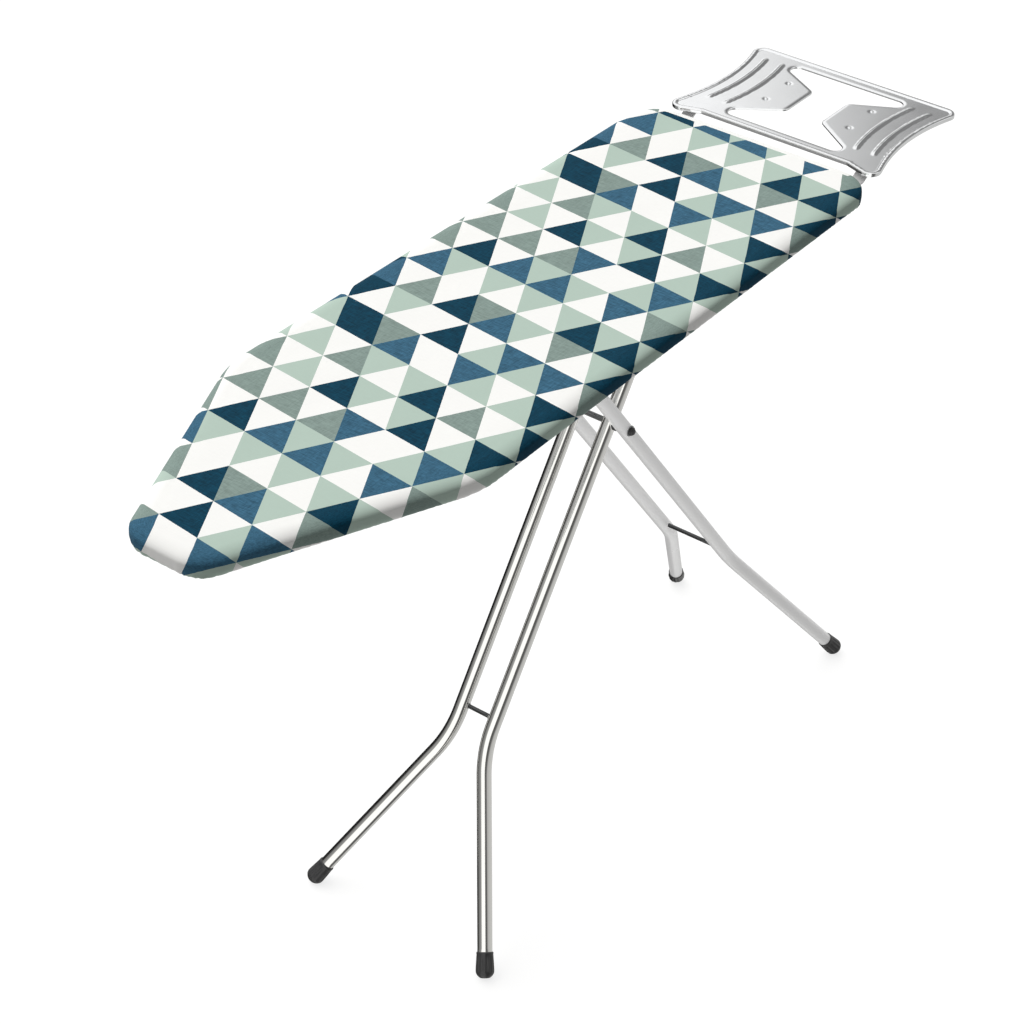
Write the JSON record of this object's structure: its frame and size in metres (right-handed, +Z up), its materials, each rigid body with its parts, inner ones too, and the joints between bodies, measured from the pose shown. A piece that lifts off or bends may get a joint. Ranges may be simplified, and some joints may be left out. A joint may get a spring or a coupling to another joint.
{
  "type": "ironing board",
  "caption": "Folding ironing board: padded cotton-covered steel top on crossed bent tube legs, with a stamped metal iron rest and a lever-released friction lock.",
  "frame": {"origin": "on the floor, under the middle of the whole object", "axes": "+X runs from the nose of the board to the iron rest, +Y to the left of a person facing the iron rest, +Z up"},
  "size_m": [1.429, 0.384, 0.87],
  "materials": {
    "cover_print": "woven cotton, printed with a pattern of triangles in white, mint, grey-green and blues",
    "felt": "needled felt, off-white",
    "cord": "braided white cord",
    "board_steel": "pale grey powder coat, satin",
    "zinc": "zinc-plated, satin",
    "rest_steel": "satin brushed sheet",
    "front_tube": "bright plated",
    "rear_tube": "very light grey gloss paint",
    "dark_plastic": "charcoal, fine grain",
    "spring_steel": "bright wire",
    "hard_steel": "hardened, dark"
  },
  "bodies": {
    "board": {"top_sheet": "board_steel", "edge_band": "board_steel", "cross_ribs": "board_steel", "felt_pad": "felt", "cotton_cover": "cover_print", "hem_cord": "cord", "cord_toggle": "dark_plastic", "slide_rails": "zinc", "rail_rivets": "zinc", "hinge_bracket": "zinc", "hinge_pin": "zinc", "hinge_pin_caps": "dark_plastic", "lock_housing": "zinc", "lock_spring": "spring_steel", "lever_pin": "zinc", "rest_plate": "rest_steel", "rest_straps": "zinc", "rest_screws": "zinc", "rest_rivets": "rest_steel"},
    "front_legs": {"front_leg_left": "front_tube", "front_leg_right": "front_tube", "hinge_sleeves": "zinc", "front_cross_rod": "hard_steel", "front_foot_caps": "dark_plastic", "pivot_rod": "hard_steel", "pivot_caps": "dark_plastic", "pivot_spacers": "dark_plastic"},
    "rear_legs": {"rear_leg_left": "rear_tube", "rear_leg_right": "rear_tube", "t_bar": "rear_tube", "rear_cross_rod": "hard_steel", "rear_foot_caps": "dark_plastic"},
    "slider": {"glide_shoes": "dark_plastic", "lock_yoke": "dark_plastic", "lock_rod": "zinc"},
    "lever": {"release_lever": "zinc", "lever_grip": "dark_plastic"},
    "brake": {"lock_plate": "hard_steel"}
  },
  "joints": [
    {"name": "fold", "type": "hinge", "parent": "board", "child": "front_legs", "pos_m": [0.24346, 0, 0.832], "axis": [0, 1, 0], "range_deg": [0, 51.9], "stiffness_Nm_per_rad": 30, "springref_deg": -45.84},
    {"name": "leg_pivot", "type": "hinge", "parent": "front_legs", "child": "rear_legs", "pos_m": [0.0888, 0, 0.616], "axis": [0, 1, 0], "range_deg": [-104, 0]},
    {"name": "glide", "type": "hinge", "parent": "rear_legs", "child": "slider", "pos_m": [-0.06586, 0, 0.832], "axis": [0, 1, 0], "range_deg": [0, 52]},
    {"name": "lever_press", "type": "hinge", "parent": "board", "child": "lever", "pos_m": [-0.014, 0.022, 0.8475], "axis": [0, 0, 1], "range_deg": [0, 7]},
    {"name": "plate_tilt", "type": "hinge", "parent": "board", "child": "brake", "pos_m": [-0.008, 0, 0.829], "axis": [0, 1, 0], "range_deg": [0, 7]}
  ],
  "couplings": [
    {"joint": "leg_pivot", "follows": "fold", "ratio": -2},
    {"joint": "glide", "follows": "fold", "ratio": 1},
    {"joint": "plate_tilt", "follows": "lever_press", "ratio": 1}
  ]
}
